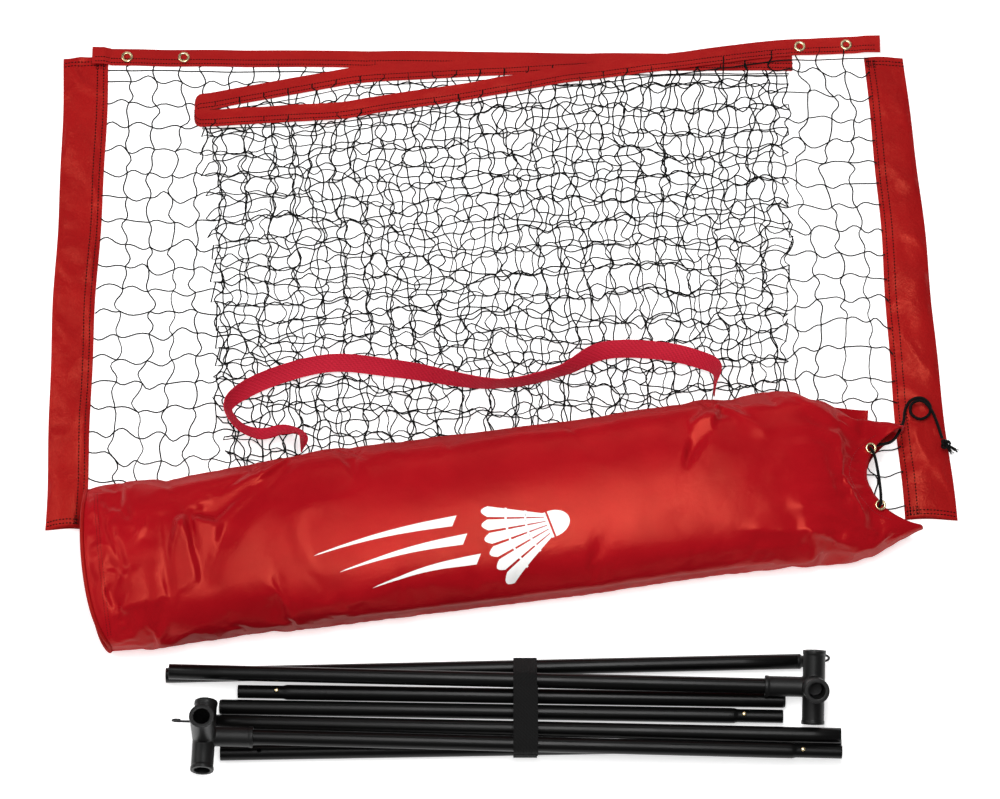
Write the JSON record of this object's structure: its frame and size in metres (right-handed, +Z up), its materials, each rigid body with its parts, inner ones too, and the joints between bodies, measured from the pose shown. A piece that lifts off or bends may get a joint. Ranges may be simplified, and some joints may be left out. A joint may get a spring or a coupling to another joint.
{
  "type": "portable badminton net",
  "caption": "Portable badminton net kit laid out: netting with header tape and pole sleeves folded in a zigzag, a carry bag with shoulder strap, and strapped frame poles.",
  "frame": {"origin": "middle of the laid-out kit at floor level, cords left out", "axes": "+X runs along the net from the closed end of the bag towards its mouth, +Y from the poles towards the header tape, +Z up"},
  "size_m": [1.336, 1.1724, 0.1246],
  "materials": {
    "red_nylon": "coated woven nylon, satin",
    "red_webbing": "woven webbing, matt",
    "twine": "knotted twine, matt",
    "black_cord": "braided cord, matt",
    "hook_and_loop": "hook-and-loop tape, matt",
    "brass": "polished",
    "black_tube": "gloss black paint",
    "moulded_plastic": "satin moulded",
    "wire": "blackened wire"
  },
  "bodies": {
    "net": {"net_mesh": "twine", "header_tape": "red_nylon", "pole_sleeve_left": "red_nylon", "pole_sleeve_right": "red_nylon", "header_grommet_1": "brass", "header_grommet_2": "brass", "header_grommet_3": "brass", "header_grommet_4": "brass"},
    "bag": {"bag_shell": "red_nylon", "bag_end_panel": "red_nylon", "bag_end_piping": "red_nylon", "mouth_grommet_1": "brass", "mouth_grommet_2": "brass", "shoulder_strap": "red_webbing", "strap_patch_left": "red_webbing", "strap_patch_right": "red_webbing", "bag_drawcord": "black_cord", "drawcord_knot": "black_cord"},
    "bundle": {"bundle_strap": "hook_and_loop"},
    "upright_1": {"upright_tube_1": "black_tube", "upright_plug_1": "moulded_plastic"},
    "hook_1": {"wire_hook_1": "wire"},
    "upright_2": {"upright_tube_2": "black_tube", "upright_plug_2": "moulded_plastic"},
    "hook_2": {"wire_hook_2": "wire"},
    "crossbar_left": {"crossbar_tube_left": "black_tube"},
    "fitting_left": {"base_fitting_left": "moulded_plastic"},
    "button_1": {"snap_button_1": "brass"},
    "crossbar_right": {"crossbar_tube_right": "black_tube"},
    "fitting_right": {"base_fitting_right": "moulded_plastic"},
    "crossbar_middle": {"crossbar_tube_middle": "black_tube"},
    "foot_1": {"foot_tube_1": "black_tube", "foot_cap_1": "moulded_plastic"},
    "button_2": {"snap_button_2": "brass"},
    "foot_2": {"foot_tube_2": "black_tube", "foot_cap_2": "moulded_plastic"},
    "button_3": {"snap_button_3": "brass"}
  },
  "joints": [
    {"name": "bag_lift", "type": "slide", "parent": "net", "child": "bag", "axis": [0, 0, 1], "range_m": [0, 0.3]},
    {"name": "bundle_lift", "type": "slide", "parent": "net", "child": "bundle", "axis": [0, 0, 1], "range_m": [0, 0.3]},
    {"name": "upright_1_pull", "type": "slide", "parent": "bundle", "child": "upright_1", "axis": [0.9997, 0.0231, 0], "range_m": [0, 0.52]},
    {"name": "upright_2_pull", "type": "slide", "parent": "bundle", "child": "upright_2", "axis": [0.9992, -0.0296, 0.0269], "range_m": [0, 0.5]},
    {"name": "crossbar_left_pull", "type": "slide", "parent": "bundle", "child": "crossbar_left", "axis": [-0.9996, 0.0219, 0.0156], "range_m": [0, 0.36]},
    {"name": "crossbar_right_pull", "type": "slide", "parent": "bundle", "child": "crossbar_right", "axis": [0.9997, -0.0258, 0.0025], "range_m": [0, 0.52]},
    {"name": "crossbar_middle_pull", "type": "slide", "parent": "bundle", "child": "crossbar_middle", "axis": [0.9998, 0.0175, 0], "range_m": [0, 0.46]},
    {"name": "foot_1_pull", "type": "slide", "parent": "bundle", "child": "foot_1", "axis": [-0.9999, 0.0166, 0], "range_m": [0, 0.4]},
    {"name": "foot_2_pull", "type": "slide", "parent": "bundle", "child": "foot_2", "axis": [-0.9998, 0.0176, 0], "range_m": [0, 0.4]},
    {"name": "fitting_left_pull", "type": "slide", "parent": "crossbar_left", "child": "fitting_left", "axis": [-0.9996, 0.0219, 0.0156], "range_m": [0, 0.056]},
    {"name": "fitting_right_pull", "type": "slide", "parent": "crossbar_right", "child": "fitting_right", "axis": [0.9997, -0.0258, 0.0025], "range_m": [0, 0.056]},
    {"name": "hook_1_swivel", "type": "hinge", "parent": "upright_1", "child": "hook_1", "pos_m": [0.43875, -0.41052, 0.0141], "axis": [0.9997, 0.0231, 0], "continuous": true},
    {"name": "hook_2_swivel", "type": "hinge", "parent": "upright_2", "child": "hook_2", "pos_m": [-0.43526, -0.50047, 0.01442], "axis": [-0.9992, 0.0296, -0.0269], "continuous": true},
    {"name": "button_1_press", "type": "slide", "parent": "crossbar_left", "child": "button_1", "axis": [-0.0156, 0.0003, -0.9999], "range_m": [0, 0.0034], "stiffness_N_per_m": 600},
    {"name": "button_2_press", "type": "slide", "parent": "foot_1", "child": "button_2", "axis": [0, 0, -1], "range_m": [0, 0.0034], "stiffness_N_per_m": 600},
    {"name": "button_3_press", "type": "slide", "parent": "foot_2", "child": "button_3", "axis": [0, 0, -1], "range_m": [0, 0.0034], "stiffness_N_per_m": 600}
  ]
}
